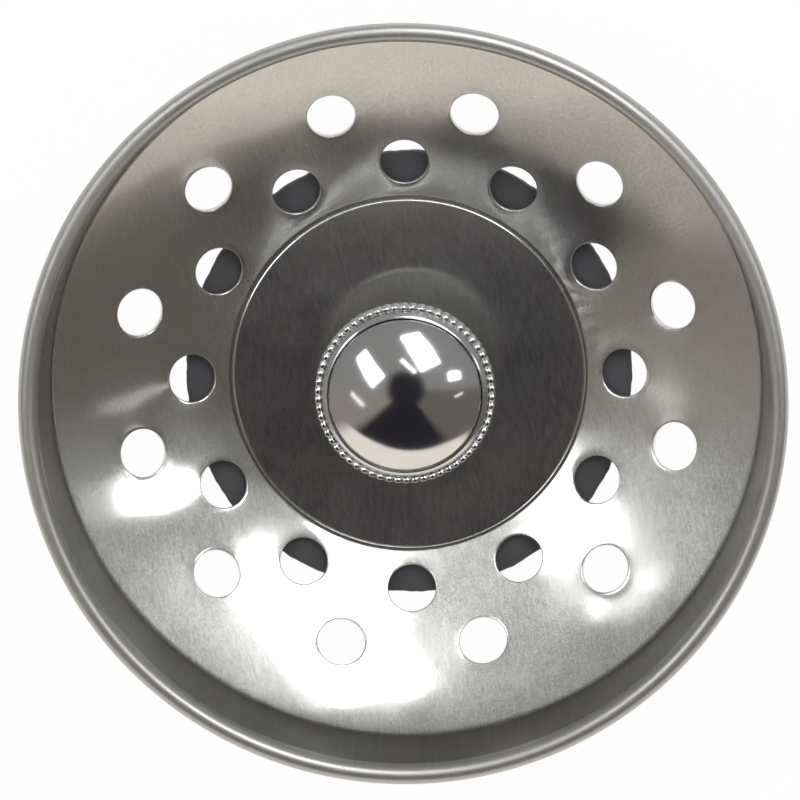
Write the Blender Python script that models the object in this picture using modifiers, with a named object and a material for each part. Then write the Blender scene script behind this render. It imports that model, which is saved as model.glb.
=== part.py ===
"""Kitchen sink strainer basket with a sliding centre post.

Metres, +Z up. The origin is on the centre line, at the foot of the rubber stopper that the
basket stands on. The stopper is drawn up under the pan. Every piece is turned about Z.
"""
import math

import bmesh
import bpy
from mathutils import Matrix, Vector

# Fits
SEAT_GAP = 0.0003           # between a piece and the face it rests on
RUNNING_GAP = 0.0003        # round a piece that slides or turns in another
THREAD_GAP = 0.0003         # round a screwed end in its nut or knob
MERGE_DISTANCE = 0.000005

# Pan
SHEET = 0.0006
RIM_RADIUS = 0.0415
BEAD_RADIUS = 0.0010
PAN_DEPTH = 0.0235          # from the flat centre up to the top of the bead
CENTRE_RADIUS = 0.0197      # of the flat centre
CENTRE_FILLET = 0.0012
FOOT_FILLET = 0.0013
DISH_START_SLOPE = math.radians(17)
DISH_END_SLOPE = math.radians(33)
WALL_SLOPE = math.radians(87.5)

# Punched holes
HOLE_RADIUS = 0.00265
HOLES_IN_ROW = 12
OUTER_ROW_RADIUS = 0.0304
INNER_ROW_RADIUS = 0.0239
OUTER_ROW_TURN = math.radians(15)
INNER_ROW_TURN = 0.0
PUNCH_LENGTH = 0.0030

# Post and its lower stack, from the floor up
POST_RADIUS = 0.0030
POST_END_RADIUS = 0.0025    # of the screwed ends
POST_END_CHAMFER = 0.0004
POST_END_CLEARANCE = 0.0004
THREAD_STANDOUT = 0.0004    # of the post through its nut
END_NUT_HEIGHT = 0.0027
END_NUT_FLATS = 0.0080
LOCK_WASHER_THICKNESS = 0.0009
LOCK_WASHER_RADIUS = 0.0044
LOCK_WASHER_SLOT = 0.0007
WASHER_THICKNESS = 0.0007
LOWER_WASHER_RADIUS = 0.0095
UPPER_WASHER_RADIUS = 0.0080
SPACER_WALL = 0.0008

# Rubber stopper
STOPPER_RADIUS = 0.0247
STOPPER_EDGE_ROUND = 0.0006
LIP_THICKNESS = 0.0021
LIP_DROOP = 0.0007
HUB_TOP_RADIUS = 0.0196
HUB_FOOT_RADIUS = 0.0170
FOOT_CHAMFER = 0.0006
WEB_THICKNESS = 0.0018
WASHER_POCKET_GAP = 0.0017
NUT_POCKET_GAP = 0.0011

# Guide bush
BUSH_WALL = 0.0015
BUSH_HEAD_RADIUS = 0.0068
BUSH_HEAD_HEIGHT = 0.0030
BUSH_CHAMFER = 0.0004
BUSH_NUT_HEIGHT = 0.0013
BUSH_NUT_FLATS = 0.0130
BUSH_STANDOUT = 0.0003      # of the bush through its nut
BUSH_END_CLEARANCE = 0.0006
RING_CORD_RADIUS = 0.0007
RING_GROOVE_GAP = 0.0003

# Knob
KNOB_LIFT = 0.0117          # from the flat centre up to the collar's underside
COLLAR_BASE = 0.0014
COLLAR_RADIUS = 0.00985
COLLAR_CHAMFER = 0.0007
KNURL_HEIGHT = 0.0020
RING_STEP = 0.0004          # from the knurl in to the raised ring
RING_RISE = 0.0006          # of the raised ring over the knurl
RING_ROUND_SHARE = 0.25     # of the raised ring's width, taken off each of its corners
DOME_RADIUS = 0.0083
DOME_CURVE = 0.0146         # radius of the ball that the dome is a cap of
DOME_EDGE_ROUND = 0.0004    # between the cap and the straight side
DOME_SKIRT = 0.0019         # of straight side, down in the collar
KNURL_TEETH = 62
FLUTE_RADIUS = 0.00033
FLUTE_OFFSET = 0.00010      # of the flute's centre beyond the knurl
DOME_THREAD_DEPTH = 0.0028

# Roundness
PAN_SIDES = 60
STOPPER_SIDES = 48
KNOB_SIDES = 40
SMALL_SIDES = 28
HOLE_SIDES = 16
FLUTE_SIDES = 8
CORD_SIDES = 8
NUT_SIDES = 6
CENTRE_FILLET_STEPS = 2
DISH_STEPS = 4
FOOT_FILLET_STEPS = 4
BEAD_QUARTER_STEPS = 3
DOME_STEPS = 8
DOME_EDGE_STEPS = 2
SMOOTH_ANGLE = math.radians(35)
CUTTER_SHARE = 2.0          # of a cutter's length to the height that it cuts through

# Levels of the stack
POST_FOOT = POST_END_CLEARANCE
END_NUT_FOOT = POST_FOOT + THREAD_STANDOUT
LOCK_WASHER_FOOT = END_NUT_FOOT + END_NUT_HEIGHT + SEAT_GAP
LOWER_WASHER_FOOT = LOCK_WASHER_FOOT + LOCK_WASHER_THICKNESS + SEAT_GAP
WEB_FOOT = LOWER_WASHER_FOOT + WASHER_THICKNESS + SEAT_GAP
WEB_TOP = WEB_FOOT + WEB_THICKNESS
UPPER_WASHER_FOOT = WEB_TOP + SEAT_GAP
UPPER_WASHER_TOP = UPPER_WASHER_FOOT + WASHER_THICKNESS
BUSH_FOOT = UPPER_WASHER_TOP + BUSH_END_CLEARANCE
BUSH_NUT_FOOT = BUSH_FOOT + BUSH_STANDOUT
BUSH_NUT_TOP = BUSH_NUT_FOOT + BUSH_NUT_HEIGHT
PAN_UNDERSIDE = BUSH_NUT_TOP + SEAT_GAP
STOPPER_TOP = PAN_UNDERSIDE - SEAT_GAP
PAN_FLOOR = PAN_UNDERSIDE + SHEET
BUSH_HEAD_FOOT = PAN_FLOOR + SEAT_GAP
BUSH_HEAD_TOP = BUSH_HEAD_FOOT + BUSH_HEAD_HEIGHT
COLLAR_FOOT = PAN_FLOOR + KNOB_LIFT
COLLAR_FLOOR = COLLAR_FOOT + COLLAR_BASE
DOME_FOOT = COLLAR_FLOOR + SEAT_GAP
DOME_EDGE = DOME_FOOT + DOME_SKIRT
BEAD_CENTRE = PAN_FLOOR + PAN_DEPTH - BEAD_RADIUS
POST_TOP = DOME_FOOT + DOME_THREAD_DEPTH
POST_LOWER_SHOULDER = UPPER_WASHER_TOP + SEAT_GAP
POST_UPPER_SHOULDER = COLLAR_FOOT - SEAT_GAP

# Bores
POST_HOLE_RADIUS = POST_END_RADIUS + THREAD_GAP
BUSH_BORE_RADIUS = POST_RADIUS + RUNNING_GAP
BUSH_RADIUS = BUSH_BORE_RADIUS + BUSH_WALL
PAN_HOLE_RADIUS = BUSH_RADIUS + SEAT_GAP
SPACER_RADIUS = POST_HOLE_RADIUS + SPACER_WALL
STOPPER_BORE_RADIUS = SPACER_RADIUS + RUNNING_GAP


def clear_scene():
    """Remove whatever objects the file opens with."""
    for thing in list(bpy.data.objects):
        bpy.data.objects.remove(thing, do_unlink=True)


def new_collection(name):
    """A collection of that name, in the scene."""
    collection = bpy.data.collections.new(name)
    bpy.context.scene.collection.children.link(collection)
    return collection


def new_finish(name, colour, metallic, roughness):
    """A plain material with the piece's colour, metal and polish."""
    finish = bpy.data.materials.new(name)
    finish.use_nodes = True
    shader = finish.node_tree.nodes["Principled BSDF"]
    shader.inputs["Base Color"].default_value = (*colour, 1.0)
    shader.inputs["Metallic"].default_value = metallic
    shader.inputs["Roughness"].default_value = roughness
    return finish


def settle(piece):
    """Keep the mesh that the piece's modifiers make, shaded smooth with its corners sharp."""
    graph = bpy.context.evaluated_depsgraph_get()
    made = bpy.data.meshes.new_from_object(piece.evaluated_get(graph))
    piece.modifiers.clear()
    piece.data = made
    made.shade_smooth()
    made.set_sharp_from_angle(angle=SMOOTH_ANGLE)


def turned(name, outline, sides, collection, ring=True):
    """Turn (radius, height) points about Z. They run down the outer side, and a ring's close on themselves."""
    links = [(index, index + 1) for index in range(len(outline) - 1)]
    if ring:
        links.append((len(outline) - 1, 0))
    profile = bpy.data.meshes.new(name)
    profile.from_pydata([(radius, 0.0, height) for radius, height in outline], links, [])
    piece = bpy.data.objects.new(name, profile)
    collection.objects.link(piece)
    screw = piece.modifiers.new("turn", "SCREW")
    screw.axis = "Z"
    screw.angle = math.tau
    screw.steps = sides
    screw.render_steps = sides
    screw.use_merge_vertices = True
    screw.merge_threshold = MERGE_DISTANCE
    settle(piece)
    return piece


def as_cutter(piece):
    """Mark a piece as a cutter that is not part of the object."""
    piece.hide_render = True
    piece.display_type = "WIRE"
    return piece


def cut(piece, cutter):
    """Take a cutter's shape out of a piece."""
    boolean = piece.modifiers.new("cut_" + cutter.name, "BOOLEAN")
    boolean.operation = "DIFFERENCE"
    boolean.solver = "EXACT"
    boolean.object = cutter


def rods(name, places, radius, length, sides, collection):
    """A cutter of like rods, each along the Z axis of its own matrix."""
    mesh = bmesh.new()
    for place in places:
        bmesh.ops.create_cone(
            mesh, cap_ends=True, segments=sides, radius1=radius, radius2=radius, depth=length, matrix=place
        )
    data = bpy.data.meshes.new(name)
    mesh.to_mesh(data)
    mesh.free()
    piece = bpy.data.objects.new(name, data)
    collection.objects.link(piece)
    return as_cutter(piece)


def run(path, length):
    """Carry a path of (radius, height, heading) points straight on."""
    radius, height, heading = path[-1]
    path.append((radius + length * math.cos(heading), height + length * math.sin(heading), heading))


def bend(path, curve, turn, steps):
    """Carry the path round an arc of radius curve. A positive turn bends it up, a negative one down."""
    radius, height, heading = path[-1]
    side = math.copysign(1, turn)
    centre_radius = radius - side * curve * math.sin(heading)
    centre_height = height + side * curve * math.cos(heading)
    for step in range(1, steps + 1):
        angle = heading + turn * step / steps
        path.append((
            centre_radius + side * curve * math.sin(angle),
            centre_height - side * curve * math.cos(angle),
            angle,
        ))


def dish_and_wall():
    """The radius of the dish's arc and the length of the straight wall that bring the sheet to its rim."""
    sine = math.sin
    cosine = math.cos
    curl = BEAD_RADIUS - SHEET / 2
    rim_radius = RIM_RADIUS - BEAD_RADIUS - curl * sine(WALL_SLOPE)
    rim_height = PAN_DEPTH - BEAD_RADIUS + SHEET / 2 + curl * cosine(WALL_SLOPE)
    reach = rim_radius - CENTRE_RADIUS
    reach -= CENTRE_FILLET * sine(DISH_START_SLOPE)
    reach -= FOOT_FILLET * (sine(WALL_SLOPE) - sine(DISH_END_SLOPE))
    rise = rim_height
    rise -= CENTRE_FILLET * (1 - cosine(DISH_START_SLOPE))
    rise -= FOOT_FILLET * (cosine(DISH_END_SLOPE) - cosine(WALL_SLOPE))
    across = sine(DISH_END_SLOPE) - sine(DISH_START_SLOPE)
    upward = cosine(DISH_START_SLOPE) - cosine(DISH_END_SLOPE)
    scale = across * sine(WALL_SLOPE) - upward * cosine(WALL_SLOPE)
    dish = (reach * sine(WALL_SLOPE) - rise * cosine(WALL_SLOPE)) / scale
    wall = (rise * across - reach * upward) / scale
    return dish, wall


def dish_point(radius, dish):
    """The height and slope of the sheet's middle layer at a radius on the dish."""
    start_radius = CENTRE_RADIUS + CENTRE_FILLET * math.sin(DISH_START_SLOPE)
    start_height = PAN_FLOOR - SHEET / 2 + CENTRE_FILLET * (1 - math.cos(DISH_START_SLOPE))
    slope = math.asin(math.sin(DISH_START_SLOPE) + (radius - start_radius) / dish)
    return start_height + dish * (math.cos(DISH_START_SLOPE) - math.cos(slope)), slope


def pan_outline(dish, wall):
    """The sheet's section: flat centre, dish, wall and the bead curled outward and under."""
    path = [(PAN_HOLE_RADIUS, PAN_FLOOR - SHEET / 2, 0.0)]
    run(path, CENTRE_RADIUS - PAN_HOLE_RADIUS)
    bend(path, CENTRE_FILLET, DISH_START_SLOPE, CENTRE_FILLET_STEPS)
    bend(path, dish, DISH_END_SLOPE - DISH_START_SLOPE, DISH_STEPS)
    bend(path, FOOT_FILLET, WALL_SLOPE - DISH_END_SLOPE, FOOT_FILLET_STEPS)
    run(path, wall)
    bend(path, BEAD_RADIUS - SHEET / 2, -WALL_SLOPE, BEAD_QUARTER_STEPS)
    bend(path, BEAD_RADIUS - SHEET / 2, -math.pi, 2 * BEAD_QUARTER_STEPS)
    upper = [(r - SHEET / 2 * math.sin(a), z + SHEET / 2 * math.cos(a)) for r, z, a in path]
    lower = [(r + SHEET / 2 * math.sin(a), z - SHEET / 2 * math.cos(a)) for r, z, a in path]
    return upper + lower[::-1]


def punch_places(dish):
    """A place for each hole's punch, square to the dish."""
    places = []
    for radius, first in ((OUTER_ROW_RADIUS, OUTER_ROW_TURN), (INNER_ROW_RADIUS, INNER_ROW_TURN)):
        height, slope = dish_point(radius, dish)
        at_row = Matrix.Translation(Vector((radius, 0.0, height))) @ Matrix.Rotation(-slope, 4, "Y")
        for index in range(HOLES_IN_ROW):
            turn = first + index * math.tau / HOLES_IN_ROW
            places.append(Matrix.Rotation(turn, 4, "Z") @ at_row)
    return places


def make_pan(parts, cutters):
    """Stamped stainless pan with its rolled rim, centre hole and two rows of punched holes."""
    dish, wall = dish_and_wall()
    pan = turned("basket_pan", pan_outline(dish, wall), PAN_SIDES, parts)
    cut(pan, rods("punches", punch_places(dish), HOLE_RADIUS, PUNCH_LENGTH, HOLE_SIDES, cutters))
    return pan


def make_washer(name, outer, bore, foot, thickness, parts):
    """A flat ring."""
    top = foot + thickness
    outline = [(bore, top), (outer, top), (outer, foot), (bore, foot)]
    return turned(name, outline, SMALL_SIDES, parts)


def make_nut(name, flats, bore, foot, height, parts, cutters):
    """A six-sided nut with a round hole."""
    corner = flats / (2 * math.cos(math.pi / NUT_SIDES))
    top = foot + height
    outline = [(0.0, top), (corner, top), (corner, foot), (0.0, foot)]
    nut = turned(name, outline, NUT_SIDES, parts, ring=False)
    middle = Matrix.Translation(Vector((0.0, 0.0, foot + height / 2)))
    cut(nut, rods(name + "_bore", [middle], bore, CUTTER_SHARE * height, SMALL_SIDES, cutters))
    return nut


def make_lock_washer(parts, cutters):
    """Spring washer pressed flat, with its slot."""
    washer = make_washer(
        "lock_washer", LOCK_WASHER_RADIUS, POST_HOLE_RADIUS, LOCK_WASHER_FOOT, LOCK_WASHER_THICKNESS, parts
    )
    mesh = bmesh.new()
    middle = Vector((LOCK_WASHER_RADIUS, 0.0, LOCK_WASHER_FOOT + LOCK_WASHER_THICKNESS / 2))
    tall = CUTTER_SHARE * LOCK_WASHER_THICKNESS
    size = Matrix.Diagonal((2 * LOCK_WASHER_RADIUS, LOCK_WASHER_SLOT, tall, 1.0))
    bmesh.ops.create_cube(mesh, size=1.0, matrix=Matrix.Translation(middle) @ size)
    data = bpy.data.meshes.new("slot")
    mesh.to_mesh(data)
    mesh.free()
    slot = bpy.data.objects.new("slot", data)
    cutters.objects.link(slot)
    cut(washer, as_cutter(slot))
    return washer


def make_stopper(parts):
    """Moulded rubber stopper: a thin lip, a tapered hub to stand on, and pockets for the two nuts."""
    lip_foot = STOPPER_TOP - LIP_THICKNESS
    nut_pocket = BUSH_NUT_FLATS / (2 * math.cos(math.pi / NUT_SIDES)) + NUT_POCKET_GAP
    washer_pocket = LOWER_WASHER_RADIUS + WASHER_POCKET_GAP
    outline = [
        (nut_pocket, STOPPER_TOP),
        (STOPPER_RADIUS - STOPPER_EDGE_ROUND, STOPPER_TOP),
        (STOPPER_RADIUS, STOPPER_TOP - STOPPER_EDGE_ROUND),
        (STOPPER_RADIUS, lip_foot + STOPPER_EDGE_ROUND),
        (STOPPER_RADIUS - STOPPER_EDGE_ROUND, lip_foot),
        (HUB_TOP_RADIUS, lip_foot - LIP_DROOP),
        (HUB_FOOT_RADIUS, FOOT_CHAMFER),
        (HUB_FOOT_RADIUS - FOOT_CHAMFER, 0.0),
        (washer_pocket + FOOT_CHAMFER, 0.0),
        (washer_pocket, FOOT_CHAMFER),
        (washer_pocket, WEB_FOOT),
        (STOPPER_BORE_RADIUS, WEB_FOOT),
        (STOPPER_BORE_RADIUS, WEB_TOP),
        (nut_pocket, WEB_TOP),
    ]
    return turned("rubber_stopper", outline, STOPPER_SIDES, parts)


def make_bush(parts):
    """Guide bush: a round head over the pan, a screwed shank through it, and a groove for the grip ring."""
    groove_half = RING_CORD_RADIUS + RING_GROOVE_GAP
    groove_middle = BUSH_HEAD_FOOT + BUSH_HEAD_HEIGHT / 2
    groove_radius = BUSH_BORE_RADIUS + 2 * RING_CORD_RADIUS + RING_GROOVE_GAP
    outline = [
        (BUSH_BORE_RADIUS, BUSH_HEAD_TOP),
        (BUSH_HEAD_RADIUS - BUSH_CHAMFER, BUSH_HEAD_TOP),
        (BUSH_HEAD_RADIUS, BUSH_HEAD_TOP - BUSH_CHAMFER),
        (BUSH_HEAD_RADIUS, BUSH_HEAD_FOOT),
        (BUSH_RADIUS, BUSH_HEAD_FOOT),
        (BUSH_RADIUS, BUSH_FOOT),
        (BUSH_BORE_RADIUS, BUSH_FOOT),
        (BUSH_BORE_RADIUS, groove_middle - groove_half),
        (groove_radius, groove_middle - groove_half),
        (groove_radius, groove_middle + groove_half),
        (BUSH_BORE_RADIUS, groove_middle + groove_half),
    ]
    return turned("guide_bush", outline, SMALL_SIDES, parts)


def make_grip_ring(parts):
    """Rubber O-ring in the bush's groove, round the post."""
    bpy.ops.mesh.primitive_torus_add(
        location=(0.0, 0.0, BUSH_HEAD_FOOT + BUSH_HEAD_HEIGHT / 2),
        major_segments=SMALL_SIDES,
        minor_segments=CORD_SIDES,
        major_radius=BUSH_BORE_RADIUS + RING_CORD_RADIUS,
        minor_radius=RING_CORD_RADIUS,
    )
    ring = bpy.context.active_object
    ring.name = "grip_ring"
    ring.data.shade_smooth()
    for collection in list(ring.users_collection):
        collection.objects.unlink(ring)
    parts.objects.link(ring)
    return ring


def make_post(parts):
    """Centre post: a plain rod with a slimmer screwed end at each shoulder."""
    outline = [
        (0.0, POST_TOP),
        (POST_END_RADIUS - POST_END_CHAMFER, POST_TOP),
        (POST_END_RADIUS, POST_TOP - POST_END_CHAMFER),
        (POST_END_RADIUS, POST_UPPER_SHOULDER),
        (POST_RADIUS, POST_UPPER_SHOULDER),
        (POST_RADIUS, POST_LOWER_SHOULDER),
        (POST_END_RADIUS, POST_LOWER_SHOULDER),
        (POST_END_RADIUS, POST_FOOT + POST_END_CHAMFER),
        (POST_END_RADIUS - POST_END_CHAMFER, POST_FOOT),
        (0.0, POST_FOOT),
    ]
    return turned("centre_post", outline, SMALL_SIDES, parts, ring=False)


def make_dome(parts):
    """Low domed top of the knob, a ball's cap with a rounded edge, with a blind screwed hole for the post."""
    hole_top = POST_TOP + SEAT_GAP
    slope = math.asin((DOME_RADIUS - DOME_EDGE_ROUND) / (DOME_CURVE - DOME_EDGE_ROUND))
    rise = DOME_CURVE * (1 - math.cos(slope)) + DOME_EDGE_ROUND * math.cos(slope)
    path = [(0.0, DOME_EDGE + rise, 0.0)]
    bend(path, DOME_CURVE, -slope, DOME_STEPS)
    bend(path, DOME_EDGE_ROUND, slope - math.pi / 2, DOME_EDGE_STEPS)
    outline = [(radius, height) for radius, height, heading in path]
    outline.append((DOME_RADIUS, DOME_FOOT))
    outline += [(POST_HOLE_RADIUS, DOME_FOOT), (POST_HOLE_RADIUS, hole_top), (0.0, hole_top)]
    return turned("knob_dome", outline, KNOB_SIDES, parts, ring=False)


def make_collar(parts, cutters):
    """Knurled collar that the dome sits down in, with a raised smooth ring inside its knurl."""
    knurl_foot = COLLAR_FOOT + COLLAR_CHAMFER
    knurl_top = knurl_foot + KNURL_HEIGHT
    ring_radius = COLLAR_RADIUS - RING_STEP
    cup_radius = DOME_RADIUS + SEAT_GAP
    ring_top = knurl_top + RING_RISE
    ring_round = RING_ROUND_SHARE * (ring_radius - cup_radius)
    outline = [
        (cup_radius + ring_round, ring_top),
        (ring_radius - ring_round, ring_top),
        (ring_radius, ring_top - ring_round),
        (ring_radius, knurl_top),
        (COLLAR_RADIUS, knurl_top),
        (COLLAR_RADIUS, knurl_foot),
        (COLLAR_RADIUS - COLLAR_CHAMFER, COLLAR_FOOT),
        (POST_HOLE_RADIUS, COLLAR_FOOT),
        (POST_HOLE_RADIUS, COLLAR_FLOOR),
        (cup_radius, COLLAR_FLOOR),
        (cup_radius, ring_top - ring_round),
    ]
    collar = turned("knurled_collar", outline, KNURL_TEETH, parts)
    at_edge = Matrix.Translation(Vector((COLLAR_RADIUS + FLUTE_OFFSET, 0.0, knurl_foot + KNURL_HEIGHT / 2)))
    places = [Matrix.Rotation((n + 0.5) * math.tau / KNURL_TEETH, 4, "Z") @ at_edge for n in range(KNURL_TEETH)]
    cut(collar, rods("flutes", places, FLUTE_RADIUS, CUTTER_SHARE * KNURL_HEIGHT, FLUTE_SIDES, cutters))
    return collar


def carry(name, height, pieces, carrier=None):
    """An empty on the centre line that carries the pieces which move together."""
    empty = bpy.data.objects.new(name, None)
    bpy.context.scene.collection.objects.link(empty)
    empty.location = (0.0, 0.0, height)
    bpy.context.view_layer.update()
    for piece in pieces:
        piece.parent = empty
        piece.matrix_parent_inverse = empty.matrix_world.inverted()
    if carrier:
        empty.parent = carrier
        empty.matrix_parent_inverse = carrier.matrix_world.inverted()
    return empty


def main():
    """Make the strainer basket."""
    clear_scene()
    parts = new_collection("strainer_basket")
    cutters = new_collection("cutters")
    steel = new_finish("stainless_steel", (0.58, 0.57, 0.55), 1.0, 0.22)
    chrome = new_finish("chrome_plate", (0.72, 0.72, 0.72), 1.0, 0.04)
    brass = new_finish("plain_brass", (0.62, 0.47, 0.22), 1.0, 0.30)
    rubber = new_finish("black_rubber", (0.018, 0.017, 0.018), 0.0, 0.60)

    pan = make_pan(parts, cutters)
    bush = make_bush(parts)
    bush_nut = make_nut(
        "bush_nut", BUSH_NUT_FLATS, BUSH_RADIUS + THREAD_GAP, BUSH_NUT_FOOT, BUSH_NUT_HEIGHT, parts, cutters
    )
    grip_ring = make_grip_ring(parts)
    stopper = make_stopper(parts)
    post = make_post(parts)
    dome = make_dome(parts)
    collar = make_collar(parts, cutters)
    upper_washer = make_washer(
        "upper_washer", UPPER_WASHER_RADIUS, POST_HOLE_RADIUS, UPPER_WASHER_FOOT, WASHER_THICKNESS, parts
    )
    spacer = make_washer("stopper_spacer", SPACER_RADIUS, POST_HOLE_RADIUS, WEB_FOOT, WEB_THICKNESS, parts)
    lower_washer = make_washer(
        "lower_washer", LOWER_WASHER_RADIUS, POST_HOLE_RADIUS, LOWER_WASHER_FOOT, WASHER_THICKNESS, parts
    )
    lock_washer = make_lock_washer(parts, cutters)
    end_nut = make_nut(
        "end_nut", END_NUT_FLATS, POST_HOLE_RADIUS, END_NUT_FOOT, END_NUT_HEIGHT, parts, cutters
    )

    finishes = {
        steel: (pan, upper_washer, lower_washer, lock_washer, end_nut),
        chrome: (dome, collar, post, bush),
        brass: (bush_nut, spacer),
        rubber: (stopper, grip_ring),
    }
    for finish, pieces in finishes.items():
        for piece in pieces:
            own = finish.copy()
            own.name = piece.name + "_" + finish.name
            piece.data.materials.append(own)

    slide = carry("stopper_slide", PAN_FLOOR, [stopper])
    spindle = [post, dome, collar, upper_washer, spacer, lower_washer, lock_washer, end_nut]
    carry("knob_turn", COLLAR_FOOT, spindle, slide)

    travel = COLLAR_FOOT - BUSH_HEAD_TOP - SEAT_GAP
    dish, wall = dish_and_wall()
    print(f"knob travel {travel:.6f} m, pan floor {PAN_FLOOR:.6f} m, dish arc {dish:.6f} m, wall {wall:.6f} m")


main()
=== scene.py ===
"""Looks of a kitchen sink strainer basket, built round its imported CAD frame.

Laid out as an add-on and run as a script. Every new piece is a surface worked out with numpy, in
metres, in the frame's own axes, and takes its place and main sizes from the frame's nodes.
"""

import math

import bmesh
import bpy
import numpy as np
from bpy.props import FloatProperty, FloatVectorProperty, IntProperty, PointerProperty
from mathutils import Matrix, Vector


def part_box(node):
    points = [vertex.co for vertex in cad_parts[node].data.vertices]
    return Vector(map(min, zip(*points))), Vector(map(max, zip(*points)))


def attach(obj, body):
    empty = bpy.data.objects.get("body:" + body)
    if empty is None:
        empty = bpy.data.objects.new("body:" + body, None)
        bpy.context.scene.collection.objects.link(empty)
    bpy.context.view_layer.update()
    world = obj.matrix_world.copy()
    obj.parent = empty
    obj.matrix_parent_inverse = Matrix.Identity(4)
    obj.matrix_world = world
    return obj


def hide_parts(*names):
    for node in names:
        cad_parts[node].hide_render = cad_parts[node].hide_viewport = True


bl_info = {
    "name": "Strainer Basket Looks",
    "version": (1, 0, 0),
    "blender": (4, 5, 0),
    "location": "3D View > Sidebar > Strainer",
    "description": "Dresses the pan, knob, stopper and fasteners of a sink strainer basket",
    "category": "Object",
}

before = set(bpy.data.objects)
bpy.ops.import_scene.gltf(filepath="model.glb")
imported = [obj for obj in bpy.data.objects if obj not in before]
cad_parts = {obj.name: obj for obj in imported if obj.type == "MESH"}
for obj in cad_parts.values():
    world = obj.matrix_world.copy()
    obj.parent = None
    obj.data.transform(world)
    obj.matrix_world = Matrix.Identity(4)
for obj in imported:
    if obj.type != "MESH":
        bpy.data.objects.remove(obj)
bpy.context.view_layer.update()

MM = 0.001
MICRON = 0.000001
TURN = 2 * math.pi
WELD = 2e-8                 # points of neighbouring grids that are one point
SMOOTH_ANGLE = math.radians(42)
GAP = 0.3 * MM              # room left between neighbouring pieces


# Places read from the frame

PAN_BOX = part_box("basket_pan")
DOME_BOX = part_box("knob_dome")
COLLAR_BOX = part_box("knurled_collar")
POST_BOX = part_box("centre_post")
BUSH_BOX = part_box("guide_bush")
STOPPER_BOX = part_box("rubber_stopper")


# Properties

def linear(code):
    """An sRGB hex colour as linear red, green and blue."""
    parts = [int(code[place:place + 2], 16) / 255 for place in (1, 3, 5)]
    return [part / 12.92 if part <= 0.04045 else ((part + 0.055) / 1.055) ** 2.4 for part in parts]


def length_setting(name, description, default):
    """A property for a length in metres."""
    return FloatProperty(name=name, description=description, default=default, unit="LENGTH", precision=6)


def angle_setting(name, description, degrees):
    """A property for an angle, whose default is given in degrees."""
    return FloatProperty(
        name=name, description=description, default=math.radians(degrees), subtype="ANGLE")


def colour_setting(name, description, code):
    """A property for a colour, whose default is an sRGB hex code."""
    return FloatVectorProperty(name=name, description=description, default=linear(code), subtype="COLOR")


class PanSizes(bpy.types.PropertyGroup):
    """Sizes of the stamped pan."""
    sheet: length_setting("Sheet", "Thickness of the steel sheet", 0.6 * MM)
    rim_radius: length_setting("Rim radius", "To the outside of the bead", PAN_BOX[1].x)
    bead_radius: length_setting("Bead radius", "Of the rolled rim's section", 1.0 * MM)
    centre_radius: length_setting("Centre radius", "Of the flat centre", 19.7 * MM)
    centre_fillet: length_setting("Centre fillet", "Where the dish starts", 1.2 * MM)
    foot_fillet: length_setting("Foot fillet", "Where the dish meets the wall", 1.3 * MM)
    dish_start: angle_setting("Dish start", "Slope of the dish at the centre", 17)
    dish_end: angle_setting("Dish end", "Slope of the dish at the wall", 33)
    wall_slope: angle_setting("Wall slope", "Of the steep wall", 87.5)
    centre_hole: length_setting("Centre hole", "Radius of the hole for the bush", 5.1 * MM)
    hole_radius: length_setting("Hole radius", "Of the punched holes", 2.65 * MM)
    holes_in_row: IntProperty(name="Holes in a row", description="Punched holes in each row", default=12)
    inner_row: length_setting("Inner row", "Radius of the inner row of holes", 23.9 * MM)
    outer_row: length_setting("Outer row", "Radius of the outer row of holes", 30.4 * MM)
    edge_round: length_setting("Hole edge round", "Where the punch drew the sheet in", 0.13 * MM)
    draw_depth: length_setting("Draw depth", "How far the punch drew the sheet down at a hole", 0.05 * MM)
    draw_reach: length_setting("Draw reach", "How far from a hole the sheet is drawn down", 0.55 * MM)
    wave_depth: length_setting("Wave depth", "Of the sheet's slight waves", 0.020 * MM)
    coin_depth: length_setting(
        "Coined line depth", "Of the line struck just inside the flat centre's edge", 0.035 * MM)


class KnobSizes(bpy.types.PropertyGroup):
    """Sizes of the knob's dome and collar."""
    dome_radius: length_setting("Dome radius", "Of the knob's dome", DOME_BOX[1].x)
    dome_curve: length_setting("Dome curve", "Radius of the ball that the dome is a cap of", 14.6 * MM)
    dome_shoulder: length_setting(
        "Dome shoulder", "Width of the round between the cap and its side", 0.28 * MM)
    collar_radius: length_setting("Collar radius", "Over the knurl", COLLAR_BOX[1].x)
    ring_radius: length_setting("Ring radius", "Outside of the raised smooth ring", 9.12 * MM)
    groove_gap: length_setting("Groove", "Between the dome and the ring", 0.09 * MM)
    teeth: IntProperty(name="Knurl teeth", description="Round teeth on the collar's edge", default=62)
    tooth_depth: length_setting("Tooth depth", "Of the valleys between teeth", 0.30 * MM)
    polish_wave: length_setting("Polish wave", "Waves left under the plating by polishing", 0.0020 * MM)


class StopperSizes(bpy.types.PropertyGroup):
    """Sizes of the moulded rubber stopper."""
    radius: length_setting("Radius", "Of the lip", STOPPER_BOX[1].x)
    lip: length_setting("Lip", "Thickness of the lip", 2.1 * MM)
    droop: length_setting("Droop", "Of the lip's underside", 0.7 * MM)
    hub_top: length_setting("Hub top", "Radius of the hub under the lip", 19.6 * MM)
    hub_foot: length_setting("Hub foot", "Radius of the hub at the foot", 17.0 * MM)
    trim_wobble: length_setting("Trim wobble", "Unevenness of the trimmed edge", 0.16 * MM)


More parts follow.
